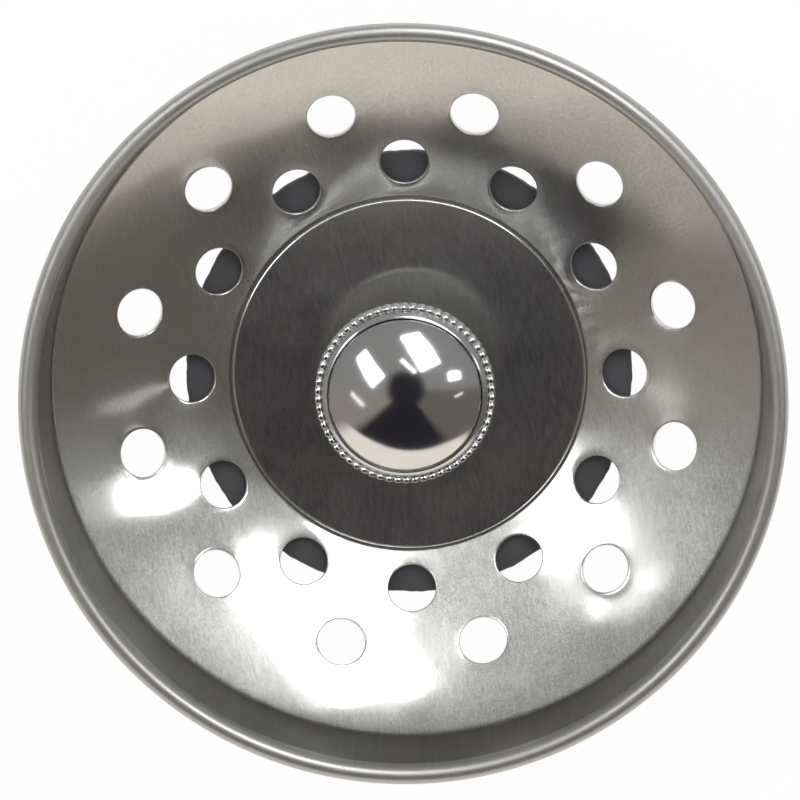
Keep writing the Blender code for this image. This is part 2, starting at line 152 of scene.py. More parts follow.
class FinishColours(bpy.types.PropertyGroup):
    """Colours of the finishes."""
    stainless: colour_setting("Stainless sheet", "Bright rolled stainless steel", "#dcdad6")
    chrome: colour_setting("Chrome", "Bright chrome plate", "#e2e2e2")
    rod: colour_setting("Rod", "Ground stainless rod", "#d0cecb")
    brass: colour_setting("Brass", "Turned brass", "#d3b174")
    nickel: colour_setting("Nickel plate", "Nickel plate over turned brass", "#cfcbc2")
    zinc: colour_setting("Zinc plate", "Zinc plated steel", "#c3c5c6")
    rubber: colour_setting("Rubber", "Black nitrile rubber", "#3a383c")


class StudioSettings(bpy.types.PropertyGroup):
    """Camera, lamps and room."""
    lens: FloatProperty(name="Lens", description="Focal length in millimetres", default=355.3)
    distance: length_setting("Distance", "Of the camera from the rim", 0.850)
    tilt_back: angle_setting("Tilt", "Of the camera from straight above, towards +Y", 9.194)
    tilt_side: angle_setting("Side tilt", "Of the camera about Y", -1.757)
    roll: angle_setting("Roll", "Of the camera about its own axis", 0.746)
    window_light: FloatProperty(
        name="Window light", description="Brightness of the two large soft lights, where 1 is white",
        default=8.0)
    room: colour_setting("Ceiling", "Plain ceiling", "#8b8b89")
    wall: colour_setting("Wall", "Warm pale wall", "#faf2e6")
    floor: colour_setting("Floor", "Plain pale floor", "#f4f4f4")


GROUPS = {
    "strainer_pan": PanSizes,
    "strainer_knob": KnobSizes,
    "strainer_stopper": StopperSizes,
    "strainer_colours": FinishColours,
    "strainer_studio": StudioSettings,
}


# Surfaces

def ease(low, high, value):
    """0 below low, 1 above high, and a smooth step between."""
    share = np.clip((value - low) / (high - low), 0, 1)
    return share * share * (3 - 2 * share)


def arc(start, curve, turn, steps):
    """Points of (radius, height, heading) round an arc from the start point, which is left out.

    The arc's centre lies one curve radius to the left of the heading for a positive turn, and to
    the right for a negative one. Each point is the centre plus that radius at the turned angle.
    """
    radius, height, heading = start
    side = math.copysign(1, turn)
    angle = heading + turn * np.arange(1, steps + 1) / steps
    across = radius - side * curve * math.sin(heading) + side * curve * np.sin(angle)
    upward = height + side * curve * math.cos(heading) - side * curve * np.cos(angle)
    return np.stack([across, upward, angle], axis=1)


def offset(path, distance):
    """A path of (radius, height, heading) moved square to its heading, as (radius, height)."""
    return np.stack([
        path[:, 0] - distance * np.sin(path[:, 2]), path[:, 1] + distance * np.cos(path[:, 2])
    ], axis=1)


def rounded(corners, rounds, steps=5, closed=True):
    """An outline of (radius, height) with each corner replaced by a curve.

    A corner's curve starts and ends one round away from it along its two sides, or half a side at
    most, and is the quadratic between those two points that the corner pulls. A closed outline
    ends with its first point again.
    """
    corners = np.asarray(corners, float)
    before = np.roll(corners, 1, axis=0) - corners
    after = np.roll(corners, -1, axis=0) - corners
    reach_before = np.minimum(rounds, np.linalg.norm(before, axis=1) / 2)[:, None]
    reach_after = np.minimum(rounds, np.linalg.norm(after, axis=1) / 2)[:, None]
    first = corners + before / np.linalg.norm(before, axis=1)[:, None] * reach_before
    last = corners + after / np.linalg.norm(after, axis=1)[:, None] * reach_after
    if not closed:
        first[0] = last[0] = corners[0]
        first[-1] = last[-1] = corners[-1]
    share = np.linspace(0, 1, steps + 1)[None, :, None]
    curves = (1 - share) ** 2 * first[:, None] + 2 * share * (1 - share) * corners[:, None]
    outline = (curves + share ** 2 * last[:, None]).reshape(-1, 2)
    step = np.linalg.norm(np.diff(outline, axis=0), axis=1)
    outline = outline[np.concatenate([[True], step > WELD])]
    return np.concatenate([outline, outline[:1]]) if closed else outline


def refined(outline, longest):
    """An outline whose long straight runs are cut into lengths of at most the longest."""
    step = np.linalg.norm(np.diff(outline, axis=0), axis=1)
    way = np.concatenate([[0], np.cumsum(step)])
    counts = np.maximum(1, np.ceil(step / longest).astype(int))
    stops = [
        np.linspace(way[n], way[n + 1], counts[n], endpoint=False) for n in range(len(step))]
    stops = np.concatenate([*stops, way[-1:]])
    return np.stack([np.interp(stops, way, outline[:, 0]), np.interp(stops, way, outline[:, 1])], axis=1)


def around(radius, angle, height):
    """Points round Z: X is the radius times the angle's cosine, and Y the radius times its sine."""
    radius, angle, height = np.broadcast_arrays(radius, angle, height)
    return np.stack([radius * np.cos(angle), radius * np.sin(angle), height], axis=-1)


def turned(outline, sides):
    """The outline of (radius, height) points turned about Z, as a grid of points."""
    return around(outline[:, :1], np.linspace(0, TURN, sides + 1), outline[:, 1:])


def finish_of(name):
    """A finish that an operator has made."""
    found = bpy.data.materials.get(name)
    if found is None:
        raise RuntimeError(f"make the finishes before the pieces: there is no {name}")
    return found


def make_piece(name, grids, finish, body, nodes):
    """One mesh from grids of points. Its doubles are merged, and then its faces are turned outwards."""
    points, faces, start = [], [], 0
    for grid in grids:
        rows, columns = grid.shape[:2]
        corner = start + np.arange(rows * columns).reshape(rows, columns)
        quads = [corner[:-1, :-1], corner[:-1, 1:], corner[1:, 1:], corner[1:, :-1]]
        faces.append(np.stack([quad.ravel() for quad in quads], axis=1))
        points.append(grid.reshape(-1, 3))
        start += rows * columns
    data = bpy.data.meshes.new(name)
    data.from_pydata(np.concatenate(points), [], np.concatenate(faces))
    mesh = bmesh.new()
    mesh.from_mesh(data)
    bmesh.ops.remove_doubles(mesh, verts=mesh.verts, dist=WELD)
    bmesh.ops.dissolve_degenerate(mesh, dist=WELD, edges=mesh.edges)
    bmesh.ops.recalc_face_normals(mesh, faces=mesh.faces)
    open_edges = sum(not edge.is_manifold for edge in mesh.edges)
    mesh.to_mesh(data)
    mesh.free()
    if open_edges:
        raise RuntimeError(f"{name} has {open_edges} edges without two faces")
    data.shade_smooth()
    data.set_sharp_from_angle(angle=SMOOTH_ANGLE)
    data.materials.append(finish_of(finish))
    piece = bpy.data.objects.new(name, data)
    bpy.context.scene.collection.objects.link(piece)
    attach(piece, body)
    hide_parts(*nodes)


# Finishes

LINE_SIZE = (0.24 * MM, 1.8 * MM)   # of a rolling line, far coarser than a real one so that it shows
PIT_SIZE = (0.02 * MM, 0.05 * MM, 0.05 * MM)    # of a rough pit, too fine to see by itself
CLOUD_SIZE = 6.0 * MM       # of the patches with more or fewer pits
ROLLING_TURN = math.radians(12)     # of the rolling direction from +Y, about Z
ROLLING_STRETCH = 0.82      # how far the haze spreads across the rolling, up to 1
STRETCH_RISE = 0.35         # along Z, of that spread's direction, whose length in X and Y is 1
FLAT_ROUGH = 0.12
PIT_ROUGH = 0.36
PIT_RANGE = (0.64, 0.68)    # of the noise, over which the sheet is pitted
GRAIN_SHARE = 0.12          # of the lines and clouds in that noise
HAZY_BAND = (12.0 * MM, 22.0 * MM, 27.0 * MM, 34.0 * MM)    # along Y, where a hazier band rises and falls
HAZY_SHARE = 0.14           # of that band in the noise
DRAWN_FOOT = 20.5 * MM      # height over which the sheet slid over the die: rougher there, and darkened by painted shade
BEAD_FOOT = 32.9 * MM       # height over which the rim was rolled: duller there, with lighter painted shade than the wall
CHANGE_REACH = 0.9 * MM     # height over which one finish passes into the next
SHEET_ROUGHNESS_AND_PAINTED_SHADE = (           # foot, added roughness and share of the colour; the shares are painted shade, which darkens the wall and lets the bead take most of it back
    (DRAWN_FOOT, 0.04, 0.52),
    (BEAD_FOOT, 0.22, 1.55),
)
DULL_PLATE = 1.8 * MM       # height of the collar's foot, which is darker and rougher
DULL_ROUGH = 0.25           # added there
DULL_SHARE = 0.5            # of the colour, lost there
PEEL_SIZE = 1.6 * MM        # of the orange peel in chrome plate
PEEL_DEPTH = 4.0 * MICRON
PLATE_PATCH = 4.0 * MM      # of the duller patches in chrome plate
TURNED_PATCH = 2.5 * MM     # of those in turned metal
TOOTH_SIZE = 0.25 * MM      # of the fine tooth that a mould leaves in rubber
TOOTH_DEPTH = 12 * MICRON
BLOOM_SIZE = 5.0 * MM       # of the patches of dusty bloom
RUBBER_IOR = 1.52
MIDDLE_NOISE = (0.3, 0.7)   # between which most of a noise lies
HIGH_NOISE = (0.35, 0.75)   # the same, moved up, so that the low end shows more


def add_node(tree, kind, inputs=(), **settings):
    """Add a node with its settings, and give its outputs.

    Its inputs are a list in the node's own order or a dictionary by name or number. A socket among
    them is linked, and any other value is set.
    """
    made = tree.nodes.new(kind)
    for setting, value in settings.items():
        setattr(made, setting, value)
    for place, value in inputs.items() if isinstance(inputs, dict) else enumerate(inputs):
        if isinstance(value, bpy.types.NodeSocket):
            tree.links.new(value, made.inputs[place])
        else:
            made.inputs[place].default_value = value
    return made.outputs


def new_finish(name):
    """The node tree of a new material."""
    finish = bpy.data.materials.new(name)
    finish.use_nodes = True
    finish.node_tree.nodes.clear()
    return finish.node_tree


def end_finish(tree, tone, inputs, share=None, relief=None, depth=0.0):
    """End a finish with its shader, whose colour is the tone, times the share where there is one.

    Where there is a relief, from 0 to 1, it bumps the surface by that times the depth.
    """
    inputs["Base Color"] = (*tone, 1.0)
    if share is not None:
        inputs["Base Color"] = add_node(tree, "ShaderNodeMix", {
            0: 1.0, 6: (*tone, 1.0), 7: share}, data_type="RGBA", blend_type="MULTIPLY")[2]
    if relief is not None:
        inputs["Normal"] = add_node(tree, "ShaderNodeBump", {
            "Strength": 1.0, "Distance": depth, "Height": relief})[0]
    shader = add_node(tree, "ShaderNodeBsdfPrincipled", inputs)
    add_node(tree, "ShaderNodeOutputMaterial", {"Surface": shader[0]})


def rolled_stainless(tone):
    """Bright rolled stainless sheet, AISI 304, deep drawn and not polished after.

    Rolled sheet is smooth flats with rough pits between, too fine to see and drawn out along the
    rolling. The flats give the clear reflections, and the pits a haze that spreads across the
    rolling. The wall, where the sheet slid over the die, is rougher, and its colour is darkened by
    painted shade. The rolls left the rim dull every way, and its colour takes most of that painted
    shade back.
    """
    tree = new_finish("rolled_stainless_304")
    place = add_node(tree, "ShaderNodeTexCoord")["Object"]
    axes = add_node(tree, "ShaderNodeSeparateXYZ", [place])
    lines = add_node(tree, "ShaderNodeMapping", {
        "Vector": place, "Rotation": (0, 0, ROLLING_TURN), "Scale": (*LINE_SIZE, 1.0)},
        vector_type="TEXTURE")
    line = add_node(tree, "ShaderNodeTexNoise", {
        "Vector": lines[0], "Scale": 1.0, "Detail": 3.0, "Roughness": 0.6})["Fac"]
    cloud = add_node(tree, "ShaderNodeTexNoise", {
        "Vector": place, "Scale": 1 / CLOUD_SIZE, "Detail": 3.0, "Roughness": 0.5})["Fac"]
    pit_place = add_node(tree, "ShaderNodeMapping", {
        "Vector": place, "Scale": [1 / size for size in PIT_SIZE]})
    pits = add_node(tree, "ShaderNodeTexNoise", {
        "Vector": pit_place[0], "Scale": 1.0, "Detail": 0.0})["Fac"]
    grain = add_node(tree, "ShaderNodeMath", [line, cloud], operation="ADD")[0]
    pitted = add_node(tree, "ShaderNodeMath", [grain, GRAIN_SHARE, pits], operation="MULTIPLY_ADD")[0]
    for start, end, share in ((*HAZY_BAND[:2], HAZY_SHARE), (*HAZY_BAND[2:], -HAZY_SHARE)):
        hazy = add_node(tree, "ShaderNodeMapRange", [
            axes[1], start, end, 0.0, share], interpolation_type="SMOOTHSTEP")[0]
        pitted = add_node(tree, "ShaderNodeMath", [pitted, hazy], operation="ADD")[0]
    rough = add_node(tree, "ShaderNodeMapRange", [pitted, *PIT_RANGE, FLAT_ROUGH, PIT_ROUGH])[0]
    shade = add_node(tree, "ShaderNodeMapRange", [line, *MIDDLE_NOISE, 0.91, 1.0])[0]
    # the shares darken the wall and lighten the bead part way again: painted shade in the sheet's colour
    for start, added, share in SHEET_ROUGHNESS_AND_PAINTED_SHADE:
        added = add_node(tree, "ShaderNodeMapRange", [
            axes[2], start, start + CHANGE_REACH, 0.0, added], interpolation_type="SMOOTHSTEP")[0]
        rough = add_node(tree, "ShaderNodeMath", [rough, added], operation="ADD")[0]
        share = add_node(tree, "ShaderNodeMapRange", [
            axes[2], start, start + CHANGE_REACH, 1.0, share], interpolation_type="SMOOTHSTEP")[0]
        shade = add_node(tree, "ShaderNodeMath", [shade, share], operation="MULTIPLY")[0]
    stretch = add_node(tree, "ShaderNodeMapRange", [
        axes[2], DRAWN_FOOT, DRAWN_FOOT + CHANGE_REACH, ROLLING_STRETCH, 0.0],
        interpolation_type="SMOOTHSTEP")[0]
    across = add_node(tree, "ShaderNodeCombineXYZ", [
        math.cos(ROLLING_TURN), math.sin(ROLLING_TURN), STRETCH_RISE])[0]
    end_finish(tree, tone, {
        "Metallic": 1.0, "Roughness": rough, "Anisotropic": stretch, "Tangent": across}, shade)


def chrome_plate(name, tone, low, high, dull_under=None):
    """Decorative chrome plate over brass, polished or satin, with a very slight orange peel.

    Its roughness goes from low to high in patches. Under the dull height it is rougher, and its
    colour darker by the dull share.
    """
    tree = new_finish(name)
    place = add_node(tree, "ShaderNodeTexCoord")["Object"]
    peel = add_node(tree, "ShaderNodeTexNoise", {
        "Vector": place, "Scale": 1 / PEEL_SIZE, "Detail": 2.0, "Roughness": 0.45})["Fac"]
    haze = add_node(tree, "ShaderNodeTexNoise", {
        "Vector": place, "Scale": 1 / PLATE_PATCH, "Detail": 5.0, "Roughness": 0.6})["Fac"]
    rough = add_node(tree, "ShaderNodeMapRange", [haze, *HIGH_NOISE, low, high])[0]
    share = None
    if dull_under is not None:
        height = add_node(tree, "ShaderNodeSeparateXYZ", [place])[2]
        dull = add_node(tree, "ShaderNodeMath", [height, dull_under], operation="LESS_THAN")[0]
        rough = add_node(tree, "ShaderNodeMath", [dull, DULL_ROUGH, rough], operation="MULTIPLY_ADD")[0]
        share = add_node(tree, "ShaderNodeMath", [dull, -DULL_SHARE, 1.0], operation="MULTIPLY_ADD")[0]
    end_finish(tree, tone, {"Metallic": 1.0, "Roughness": rough}, share, peel, PEEL_DEPTH)


def lathe_marked(name, tone, roughness, pitch, depth):
    """A turned metal: fine rings round the Z axis, as a lathe tool or a grinding wheel leaves them.

    The rings are noise over the radius and the height, and handling leaves it duller in patches.
    """
    tree = new_finish(name)
    place = add_node(tree, "ShaderNodeTexCoord")["Object"]
    axes = add_node(tree, "ShaderNodeSeparateXYZ", [place])
    flat = add_node(tree, "ShaderNodeCombineXYZ", [axes[0], axes[1]])[0]
    radius = add_node(tree, "ShaderNodeVectorMath", [flat], operation="LENGTH")["Value"]
    rings = add_node(tree, "ShaderNodeCombineXYZ", [radius, axes[2]])[0]
    marks = add_node(tree, "ShaderNodeTexNoise", {
        "Vector": rings, "Scale": 1 / pitch, "Detail": 3.0, "Roughness": 0.6}, noise_dimensions="2D")["Fac"]
    haze = add_node(tree, "ShaderNodeTexNoise", {
        "Vector": place, "Scale": 1 / TURNED_PATCH, "Detail": 4.0, "Roughness": 0.6})["Fac"]
    rough = add_node(tree, "ShaderNodeMapRange", [haze, *MIDDLE_NOISE, roughness * 0.7, roughness * 1.4])[0]
    share = add_node(tree, "ShaderNodeMapRange", [haze, *MIDDLE_NOISE, 0.86, 1.0])[0]
    end_finish(tree, tone, {"Metallic": 1.0, "Roughness": rough}, share, marks, depth)


def nitrile_rubber(tone):
    """Black nitrile rubber, compression moulded: dull, with a fine tooth and paler dusty bloom."""
    tree = new_finish("nitrile_rubber_moulded")
    place = add_node(tree, "ShaderNodeTexCoord")["Object"]
    tooth = add_node(tree, "ShaderNodeTexNoise", {
        "Vector": place, "Scale": 1 / TOOTH_SIZE, "Detail": 3.0, "Roughness": 0.6})["Fac"]
    bloom = add_node(tree, "ShaderNodeTexNoise", {
        "Vector": place, "Scale": 1 / BLOOM_SIZE, "Detail": 6.0, "Roughness": 0.62})["Fac"]
    share = add_node(tree, "ShaderNodeMapRange", [bloom, *HIGH_NOISE, 0.82, 1.25])[0]
    rough = add_node(tree, "ShaderNodeMapRange", [bloom, *MIDDLE_NOISE, 0.55, 0.72])[0]
    end_finish(tree, tone, {"Roughness": rough, "IOR": RUBBER_IOR}, share, tooth, TOOTH_DEPTH)


class STRAINER_OT_finishes(bpy.types.Operator):
    """Make the finishes, and give the pieces kept from the frame theirs"""
    bl_idname = "strainer.finishes"
    bl_label = "Finishes"

    def execute(self, context):
        colours = context.scene.strainer_colours
        rolled_stainless(colours.stainless)
        chrome_plate("bright_chrome_plate", colours.chrome, 0.08, 0.13)
        chrome_plate("satin_chrome_plate", colours.chrome, 0.14, 0.20, COLLAR_BOX[0].z + DULL_PLATE)
        nitrile_rubber(colours.rubber)
        lathe_marked("ground_stainless_rod", colours.rod, 0.14, 0.12 * MM, 0.4 * MICRON)
        lathe_marked("turned_brass", colours.brass, 0.24, 0.16 * MM, 1.2 * MICRON)
        lathe_marked("nickel_plated_brass", colours.nickel, 0.16, 0.16 * MM, 0.8 * MICRON)
        lathe_marked("zinc_plated_steel", colours.zinc, 0.32, 0.30 * MM, 1.0 * MICRON)
        kept = {
            "bush_nut": "turned_brass",
            "stopper_spacer": "turned_brass",
            "grip_ring": "nitrile_rubber_moulded",
            "upper_washer": "zinc_plated_steel",
        }
        for node, finish in kept.items():
            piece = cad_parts[node]
            if not piece.material_slots:
                raise RuntimeError(f"{node} came without a material slot")
            for place in piece.material_slots:
                place.material = finish_of(finish)
        return {"FINISHED"}


# Pan

BAND_INNER = 20.6 * MM      # the perforated band, in the middle layer's radius
BAND_MIDDLE = 27.1 * MM
BAND_OUTER = 34.0 * MM
PAN_SIDES = 288
SIDE_STEPS = 8              # along a cell's two radial sides
COIN_INSET = 0.28 * MM      # of the coined line inside the flat centre's edge
COIN_HALF_WIDTH = 0.10 * MM
COIN_RINGS = np.linspace(-2.6, 2.4, 21)     # round the coined line, in its half widths
FLAT_RINGS = (5.5 * MM, *np.linspace(7.0 * MM, 19.0 * MM, 13))  # from the hole to the coined line
DISH_RING = 20.3 * MM       # between the fillet and the band
FILLET_STEPS = 8
DISH_STEPS = 8              # outside the band
FOOT_STEPS = 14
WALL_STEPS = 10
BEAD_STEPS = 34
TOP_SHARES = (1.0, 0.82, 0.66, 0.51, 0.38, 0.27, 0.17, 0.09, 0.035, 0.0)
UNDER_SHARES = (0.0, 0.06, 0.2, 0.42, 0.7, 1.0)
EDGE_SHARES = ((0.62, 0.015), (0.30, 0.07), (0.09, 0.15), (0.0, 0.27), (0.0, 0.86), (0.12, 0.96))
BURR_SHARE = 0.3            # of the hole's round, at the foot of the hole
RIPPLE_START = 1.5 * MM     # from the flat centre's edge to where the ripple is full
RIPPLE_END = (36.0 * MM, 38.0 * MM)     # radii over which it fades out again
WAVES = (                   # length across X and Y, and phase, of the sheet's slight waves
    (11.0 * MM, 23.0 * MM, 0.7),
    (7.3 * MM, -16.0 * MM, 2.1),
    (5.1 * MM, 31.0 * MM, 4.4),
    (-9.2 * MM, 12.5 * MM, 5.3),
)


def pan_shape(pan):
    """The pan's floor, the dish's arc and the wall's length that bring the sheet to the rim."""
    floor = PAN_BOX[0].z + pan.sheet
    depth = PAN_BOX[1].z - floor
    curl = pan.bead_radius - pan.sheet / 2
    rim_radius = pan.rim_radius - pan.bead_radius - curl * math.sin(pan.wall_slope)
    rim_height = depth - pan.bead_radius + pan.sheet / 2 + curl * math.cos(pan.wall_slope)
    reach = rim_radius - pan.centre_radius - pan.centre_fillet * math.sin(pan.dish_start)
    reach -= pan.foot_fillet * (math.sin(pan.wall_slope) - math.sin(pan.dish_end))
    rise = rim_height - pan.centre_fillet * (1 - math.cos(pan.dish_start))
    rise -= pan.foot_fillet * (math.cos(pan.dish_end) - math.cos(pan.wall_slope))
    across = math.sin(pan.dish_end) - math.sin(pan.dish_start)
    upward = math.cos(pan.dish_start) - math.cos(pan.dish_end)
    scale = across * math.sin(pan.wall_slope) - upward * math.cos(pan.wall_slope)
    dish = (reach * math.sin(pan.wall_slope) - rise * math.cos(pan.wall_slope)) / scale
    wall = (rise * across - reach * upward) / scale
    return floor, dish, wall


def dish_path(pan, radius):
    """The sheet's middle layer on the dish at each radius, as (radius, height, slope).

    The slope's sine grows evenly with the radius, because the dish is an arc in section.
    """
    floor, dish, _ = pan_shape(pan)
    start_radius = pan.centre_radius + pan.centre_fillet * math.sin(pan.dish_start)
    start_height = floor - pan.sheet / 2 + pan.centre_fillet * (1 - math.cos(pan.dish_start))
    slope = np.arcsin(math.sin(pan.dish_start) + (radius - start_radius) / dish)
    height = start_height + dish * (math.cos(pan.dish_start) - np.cos(slope))
    return np.stack([radius, height, slope], axis=-1)


def hole_places(pan):
    """Centre of every punched hole in the sheet's middle layer, as (radius, angle), for each row."""
    turns = np.arange(pan.holes_in_row) * TURN / pan.holes_in_row
    inner = np.stack([np.full(turns.shape, pan.inner_row), turns], axis=1)
    outer = np.stack([np.full(turns.shape, pan.outer_row), turns + TURN / pan.holes_in_row / 2], axis=1)
    return inner, outer


def rippled(pan, points):
    """Points of the pan with the sheet's ripple added: drawn down near each hole, and slightly wavy.

    Round a hole the depth falls off with e to the power of the distance from its edge over the
    reach. The waves are the mean of four plane sine waves. Both fade out at the dish's two edges.
    """
    x, y = points[..., 0], points[..., 1]
    gaps = [
        np.hypot(x - place * math.cos(turn), y - place * math.sin(turn))
        for place, turn in np.concatenate(hole_places(pan))
    ]
    drawn = -pan.draw_depth * np.exp(-np.maximum(np.min(gaps, axis=0) - pan.hole_radius, 0) / pan.draw_reach)
    waves = [np.sin(TURN * (x / along + y / across) + phase) for along, across, phase in WAVES]
    radius = np.hypot(x, y)
    fade = ease(pan.centre_radius, pan.centre_radius + RIPPLE_START, radius) * (1 - ease(*RIPPLE_END, radius))
    made = points.copy()
    made[..., 2] += (drawn + pan.wave_depth * np.mean(waves, axis=0)) * fade
    return made


def pan_inner_strip(pan):
    """Section from the band's underside in to the bush's hole and out again over the top.

    Straight over the flat centre, with a coined line near its edge whose depth is e to the minus
    square of the distance from the line, then the fillet and the start of the dish.
    """
    middle = pan_shape(pan)[0] - pan.sheet / 2
    line = pan.centre_radius - COIN_INSET
    near_line = line + COIN_HALF_WIDTH * COIN_RINGS
    radii = np.concatenate([[pan.centre_hole], FLAT_RINGS, near_line, [pan.centre_radius]])
    flat = np.stack([radii, np.full(radii.shape, middle), np.zeros(radii.shape)], axis=1)
    fillet = arc(flat[-1], pan.centre_fillet, pan.dish_start, FILLET_STEPS)
    dish = dish_path(pan, np.array([DISH_RING, BAND_INNER]))
    path = np.concatenate([flat, fillet, dish])
    over = offset(path, pan.sheet / 2)
    under = offset(path, -pan.sheet / 2)
    over[:, 1] -= pan.coin_depth * np.exp(-((path[:, 0] - line) / COIN_HALF_WIDTH) ** 2)
    return np.concatenate([under[::-1], over])


def pan_outer_strip(pan):
    """Section from the band's top out over the wall, round the bead and back underneath.

    The end of the dish, the foot's arc, a straight wall, then an arc that curls outwards, down and
    in under itself.
    """
    wall = pan_shape(pan)[2]
    curl = pan.bead_radius - pan.sheet / 2
    end_radius = pan.rim_radius - pan.bead_radius - curl * math.sin(pan.wall_slope)
    end_radius -= wall * math.cos(pan.wall_slope)
    end_radius -= pan.foot_fillet * (math.sin(pan.wall_slope) - math.sin(pan.dish_end))
    dish = dish_path(pan, np.linspace(BAND_OUTER, end_radius, DISH_STEPS + 1))
    foot = arc(dish[-1], pan.foot_fillet, pan.wall_slope - pan.dish_end, FOOT_STEPS)
    way = wall * np.linspace(0, 1, WALL_STEPS + 1)[1:, None]
    side = foot[-1] + way * (math.cos(pan.wall_slope), math.sin(pan.wall_slope), 0)
    bead = arc(side[-1], curl, -pan.wall_slope - math.pi, BEAD_STEPS)
    path = np.concatenate([dish, foot, side, bead])
    return np.concatenate([offset(path, pan.sheet / 2), offset(path, -pan.sheet / 2)[::-1]])


def sheet_point(pan, radius, angle, depth):
    """A point of the dish at a middle radius and an angle. Depth 0 is its top, and 1 its underside."""
    path = dish_path(pan, radius)
    lift = pan.sheet * (0.5 - depth)
    return around(
        path[..., 0] - lift * np.sin(path[..., 2]), angle, path[..., 1] + lift * np.cos(path[..., 2]))


def hole_cells(pan, places, inner, outer):
    """The band's cells round one row of holes, each a strip from its border over the hole and back under.

    A cell's border is a sector from the inner to the outer radius. A ring of it lies a share of
    the way from the hole's circle to that border, along the line at the border point's own angle
    as seen from the hole. At the hole the rings round over the edge, go down and come out below.
    """
    half = TURN / pan.holes_in_row / 2
    steps = PAN_SIDES // pan.holes_in_row
    sweep = np.linspace(-half, half, steps + 1)
    way = np.linspace(inner, outer, SIDE_STEPS + 1)
    border_radius = np.concatenate([
        np.full(steps, inner), way[:-1], np.full(steps, outer), way[::-1]])
    border_angle = np.concatenate([
        sweep[:-1], np.full(SIDE_STEPS, half), sweep[::-1][:-1], np.full(SIDE_STEPS + 1, -half)])
    row_radius = places[0, 0]
    tip = math.cos(dish_path(pan, row_radius)[2])
    border_x = border_radius * np.cos(border_angle) - row_radius
    border_y = border_radius * np.sin(border_angle)
    bearing = np.arctan2(border_y, border_x / tip)

    ring_round = [(1.0, 0.0, share) for share in TOP_SHARES]
    ring_round += [(grow, depth, 0.0) for grow, depth in EDGE_SHARES]
    ring_round += [(BURR_SHARE, 1.0, share) for share in UNDER_SHARES]
    grow, depth, share = (column[:, None] for column in np.array(ring_round).T)
    circle = pan.hole_radius + pan.edge_round * grow
    local_x = (1 - share) * circle * tip * np.cos(bearing) + share * border_x
    local_y = (1 - share) * circle * np.sin(bearing) + share * border_y
    radius = np.hypot(row_radius + local_x, local_y)
    angle = np.arctan2(local_y, row_radius + local_x)
    return [rippled(pan, sheet_point(pan, radius, angle + turn, depth)) for _, turn in places]


class STRAINER_OT_pan(bpy.types.Operator):
    """Make the stamped pan with its rolled rim, its coined line and its punched holes"""
    bl_idname = "strainer.pan"
    bl_label = "Pan"

    def execute(self, context):
        pan = context.scene.strainer_pan
        if PAN_SIDES % (2 * pan.holes_in_row):
            raise RuntimeError("the holes in a row have to divide the pan's sides evenly")
        inner, outer = hole_places(pan)
        grids = [
            rippled(pan, turned(pan_inner_strip(pan), PAN_SIDES)),
            rippled(pan, turned(pan_outer_strip(pan), PAN_SIDES)),
            *hole_cells(pan, inner, BAND_INNER, BAND_MIDDLE),
            *hole_cells(pan, outer, BAND_MIDDLE, BAND_OUTER),
        ]
        make_piece("pan_sheet", grids, "rolled_stainless_304", "basket", ["basket_pan"])
        return {"FINISHED"}


# Knob and post

DOME_SIDES = 192
CAP_RINGS = 49
POLISH_RUN = (0.62 * MM, 0.74 * MM)     # along X and Y, over which a polish wave's phase grows by 1
POLISH_PHASE = (1.1, 0.4)
POLISH_FADE = (0.6 * MM, 0.8 * MM)      # from the middle and from the shoulder, where the waves are full
TOOTH_STEPS = 12
TOOTH_FULL = 0.97           # share of its half circle that a tooth spans
TOOTH_TOP = 0.35 * MM       # of the teeth under the ring's top
TOOTH_FALL = 0.30 * MM      # under the teeth's top, where they are drawn down too
TOOTH_RISE = 0.9 * MM       # over the collar's foot, where the teeth are full
COLLAR_STEP = 0.6 * MM
RING_FALL = 0.46 * MM       # of the ring's top towards its outside
RING_FOOT = 0.75 * MM       # of the ring's side under its top
VALLEY_GAP = 0.06 * MM      # between the ring and the teeth
COLLAR_CHAMFER = 0.7 * MM
THREAD_PITCH = 0.8 * MM
THREAD_DEPTH = 0.22 * MM
THREAD_FADE = (0.6 * MM, 1.2 * MM)      # from a shoulder, where the thread is gone and where it is full
THREAD_RADIUS = 2.5 * MM
THREAD_RINGS = 10           # over one pitch
THREAD_START = 0.5 * MM     # from a shoulder to the nearest of them
LOWER_SHOULDER = 9.1 * MM   # height where the lower screwed end stops
SHOULDER_EDGE = 0.1 * MM    # chamfer of the rod at both shoulders
POST_CHAMFER = 0.4 * MM
POST_SIDES = 64
POST_HOLE = THREAD_RADIUS + GAP


def dome_grid(knob):
    """A shallow cap of a ball turned about Z, with a rounded shoulder, a straight side and a closed foot.

    The cap falls from its top by the ball's radius times one less the cosine of the slope. The
    slight polish waves lift each point by the product of two sines of its place.
    """
    foot, top = DOME_BOX[0].z, DOME_BOX[1].z
    brow = knob.dome_radius - knob.dome_shoulder
    slope = np.linspace(0, math.asin(brow / knob.dome_curve), CAP_RINGS)
    cap = np.stack([knob.dome_curve * np.sin(slope), top - knob.dome_curve * (1 - np.cos(slope))], axis=1)
    corner = cap[-1, 1] - knob.dome_shoulder * math.tan(slope[-1])
    hole_top = POST_BOX[1].z + GAP
    under = rounded([
        tuple(cap[-1]), (knob.dome_radius, corner), (knob.dome_radius, foot), (POST_HOLE, foot),
        (POST_HOLE, hole_top), (0, hole_top)],
        np.array([0, 0.3, 0.2, 0.15, 0.1, 0]) * MM, steps=8, closed=False)
    grid = turned(np.concatenate([cap[:-1], under]), DOME_SIDES)
    on_cap = np.arange(len(grid)) < len(cap) - 1
    radius = grid[:, 0, 0]
    fade = on_cap * ease(0, POLISH_FADE[0], radius) * (1 - ease(brow - POLISH_FADE[1], brow, radius))
    waves = np.sin(grid[..., :2] / POLISH_RUN + POLISH_PHASE)
    grid[..., 2] += knob.polish_wave * waves[..., 0] * waves[..., 1] * fade[:, None]
    return grid


